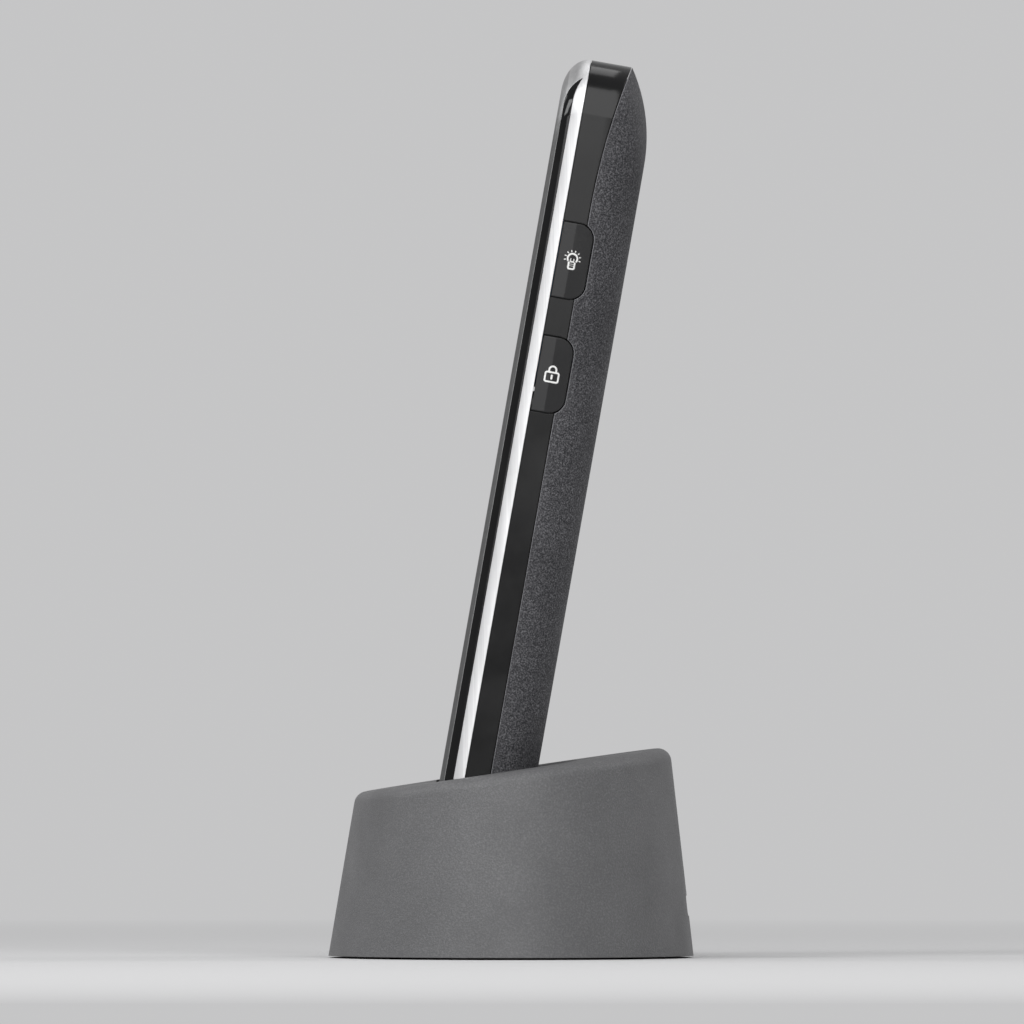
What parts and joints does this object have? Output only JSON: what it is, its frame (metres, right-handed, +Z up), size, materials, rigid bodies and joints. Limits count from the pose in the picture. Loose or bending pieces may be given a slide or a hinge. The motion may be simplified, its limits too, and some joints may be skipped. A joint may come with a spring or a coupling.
{
  "type": "mobile phone",
  "caption": "Candybar mobile phone with a keypad, side keys and a removable back, standing in its leaning desk charging cradle with sprung charge pins.",
  "frame": {"origin": "centre of the cradle's footprint, on the floor it stands on", "axes": "+Z up, -Y the way the screen faces, +X the user's right, where the torch and lock keys are"},
  "size_m": [0.076, 0.054, 0.1328],
  "materials": {
    "frame_silver": "bright satin",
    "gloss_black": "gloss",
    "cover_charcoal": "soft-touch, finely grained",
    "side_key_grey": "semi-gloss",
    "front_key_black": "semi-gloss",
    "lens_clear": "polished",
    "screen_dark": "gloss",
    "dome_film": "gloss film",
    "board_green": "solder mask",
    "component_black": "moulded",
    "steel_bright": "bright",
    "contact_gold": "gold plated",
    "battery_wrap": "printed wrap",
    "led_yellow": "phosphor",
    "cradle_grey": "matt, finely grained",
    "weight_iron": "zinc dull",
    "foot_rubber": "matt"
  },
  "bodies": {
    "cradle": {"cradle_shell": "cradle_grey", "cradle_base": "cradle_grey", "cradle_feet": "foot_rubber", "cradle_screws": "steel_bright", "cradle_weight": "weight_iron", "cradle_board": "board_green", "cradle_inlet": "steel_bright", "pin_barrels": "contact_gold"},
    "handset": {"front_frame": "frame_silver", "frame_bands": "gloss_black", "fascia": "gloss_black", "display_lens": "lens_clear", "display_module": "screen_dark", "earpiece_mesh": "steel_bright", "earpiece_speaker": "component_black", "microphone": "component_black", "dome_sheet": "dome_film", "main_board": "board_green", "shield_cans": "steel_bright", "side_switches": "component_black", "chassis": "gloss_black", "chin_cap": "cover_charcoal", "antenna": "contact_gold", "battery": "battery_wrap", "battery_contacts": "contact_gold", "sim_holder": "steel_bright", "ringer_speaker": "component_black", "vibration_motor": "steel_bright", "chassis_screws": "steel_bright", "handset_socket": "steel_bright", "charge_pads": "contact_gold", "torch_lens": "lens_clear", "torch_led": "led_yellow"},
    "rear_cover": {"rear_cover": "cover_charcoal"},
    "key_1": {"key_1": "front_key_black"},
    "key_2": {"key_2": "front_key_black"},
    "key_3": {"key_3": "front_key_black"},
    "key_4": {"key_4": "front_key_black"},
    "key_5": {"key_5": "front_key_black"},
    "key_6": {"key_6": "front_key_black"},
    "key_7": {"key_7": "front_key_black"},
    "key_8": {"key_8": "front_key_black"},
    "key_9": {"key_9": "front_key_black"},
    "key_star": {"key_star": "front_key_black"},
    "key_0": {"key_0": "front_key_black"},
    "key_hash": {"key_hash": "front_key_black"},
    "call_key": {"call_key": "front_key_black"},
    "end_key": {"end_key": "front_key_black"},
    "left_soft_key": {"left_soft_key": "front_key_black"},
    "right_soft_key": {"right_soft_key": "front_key_black"},
    "navigation_key": {"navigation_key": "front_key_black"},
    "torch_key": {"torch_key": "side_key_grey"},
    "lock_key": {"lock_key": "side_key_grey"},
    "volume_rocker": {"volume_rocker": "side_key_grey"},
    "charge_pin_left": {"charge_pin_left": "contact_gold"},
    "charge_pin_right": {"charge_pin_right": "contact_gold"}
  },
  "joints": [
    {"name": "handset_lift", "type": "slide", "parent": "cradle", "child": "handset", "axis": [0, 0.1736, 0.9848], "range_m": [0, 0.05]},
    {"name": "cover_swing", "type": "hinge", "parent": "handset", "child": "rear_cover", "pos_m": [0, 0.00307, 0.02638], "axis": [-1, 0, 0], "range_deg": [0, 40]},
    {"name": "key_1_press", "type": "slide", "parent": "handset", "child": "key_1", "axis": [0, 0.9848, -0.1736], "range_m": [0, 0.0004], "stiffness_N_per_m": 1500},
    {"name": "key_2_press", "type": "slide", "parent": "handset", "child": "key_2", "axis": [0, 0.9848, -0.1736], "range_m": [0, 0.0004], "stiffness_N_per_m": 1500},
    {"name": "key_3_press", "type": "slide", "parent": "handset", "child": "key_3", "axis": [0, 0.9848, -0.1736], "range_m": [0, 0.0004], "stiffness_N_per_m": 1500},
    {"name": "key_4_press", "type": "slide", "parent": "handset", "child": "key_4", "axis": [0, 0.9848, -0.1736], "range_m": [0, 0.0004], "stiffness_N_per_m": 1500},
    {"name": "key_5_press", "type": "slide", "parent": "handset", "child": "key_5", "axis": [0, 0.9848, -0.1736], "range_m": [0, 0.0004], "stiffness_N_per_m": 1500},
    {"name": "key_6_press", "type": "slide", "parent": "handset", "child": "key_6", "axis": [0, 0.9848, -0.1736], "range_m": [0, 0.0004], "stiffness_N_per_m": 1500},
    {"name": "key_7_press", "type": "slide", "parent": "handset", "child": "key_7", "axis": [0, 0.9848, -0.1736], "range_m": [0, 0.0004], "stiffness_N_per_m": 1500},
    {"name": "key_8_press", "type": "slide", "parent": "handset", "child": "key_8", "axis": [0, 0.9848, -0.1736], "range_m": [0, 0.0004], "stiffness_N_per_m": 1500},
    {"name": "key_9_press", "type": "slide", "parent": "handset", "child": "key_9", "axis": [0, 0.9848, -0.1736], "range_m": [0, 0.0004], "stiffness_N_per_m": 1500},
    {"name": "key_star_press", "type": "slide", "parent": "handset", "child": "key_star", "axis": [0, 0.9848, -0.1736], "range_m": [0, 0.0004], "stiffness_N_per_m": 1500},
    {"name": "key_0_press", "type": "slide", "parent": "handset", "child": "key_0", "axis": [0, 0.9848, -0.1736], "range_m": [0, 0.0004], "stiffness_N_per_m": 1500},
    {"name": "key_hash_press", "type": "slide", "parent": "handset", "child": "key_hash", "axis": [0, 0.9848, -0.1736], "range_m": [0, 0.0004], "stiffness_N_per_m": 1500},
    {"name": "call_key_press", "type": "slide", "parent": "handset", "child": "call_key", "axis": [0, 0.9848, -0.1736], "range_m": [0, 0.0004], "stiffness_N_per_m": 1500},
    {"name": "end_key_press", "type": "slide", "parent": "handset", "child": "end_key", "axis": [0, 0.9848, -0.1736], "range_m": [0, 0.0004], "stiffness_N_per_m": 1500},
    {"name": "left_soft_key_press", "type": "slide", "parent": "handset", "child": "left_soft_key", "axis": [0, 0.9848, -0.1736], "range_m": [0, 0.0004], "stiffness_N_per_m": 1500},
    {"name": "right_soft_key_press", "type": "slide", "parent": "handset", "child": "right_soft_key", "axis": [0, 0.9848, -0.1736], "range_m": [0, 0.0004], "stiffness_N_per_m": 1500},
    {"name": "navigation_key_tip", "type": "hinge", "parent": "handset", "child": "navigation_key", "pos_m": [0, 0.0001, 0.07233], "axis": [1, 0, 0], "range_deg": [-2.5, 2.5], "stiffness_Nm_per_rad": 0.05},
    {"name": "torch_key_press", "type": "slide", "parent": "handset", "child": "torch_key", "axis": [-1, 0, 0], "range_m": [0, 0.0005], "stiffness_N_per_m": 1500},
    {"name": "lock_key_press", "type": "slide", "parent": "handset", "child": "lock_key", "axis": [-1, 0, 0], "range_m": [0, 0.0005], "stiffness_N_per_m": 1500},
    {"name": "volume_rocker_tip", "type": "hinge", "parent": "handset", "child": "volume_rocker", "pos_m": [-0.02355, 0.00697, 0.09472], "axis": [0, 0.9848, -0.1736], "range_deg": [-1.5, 1.5], "stiffness_Nm_per_rad": 0.15},
    {"name": "charge_pin_left_press", "type": "slide", "parent": "cradle", "child": "charge_pin_left", "axis": [0, -0.1736, -0.9848], "range_m": [0, 0.0008], "stiffness_N_per_m": 400},
    {"name": "charge_pin_right_press", "type": "slide", "parent": "cradle", "child": "charge_pin_right", "axis": [0, -0.1736, -0.9848], "range_m": [0, 0.0008], "stiffness_N_per_m": 400}
  ]
}
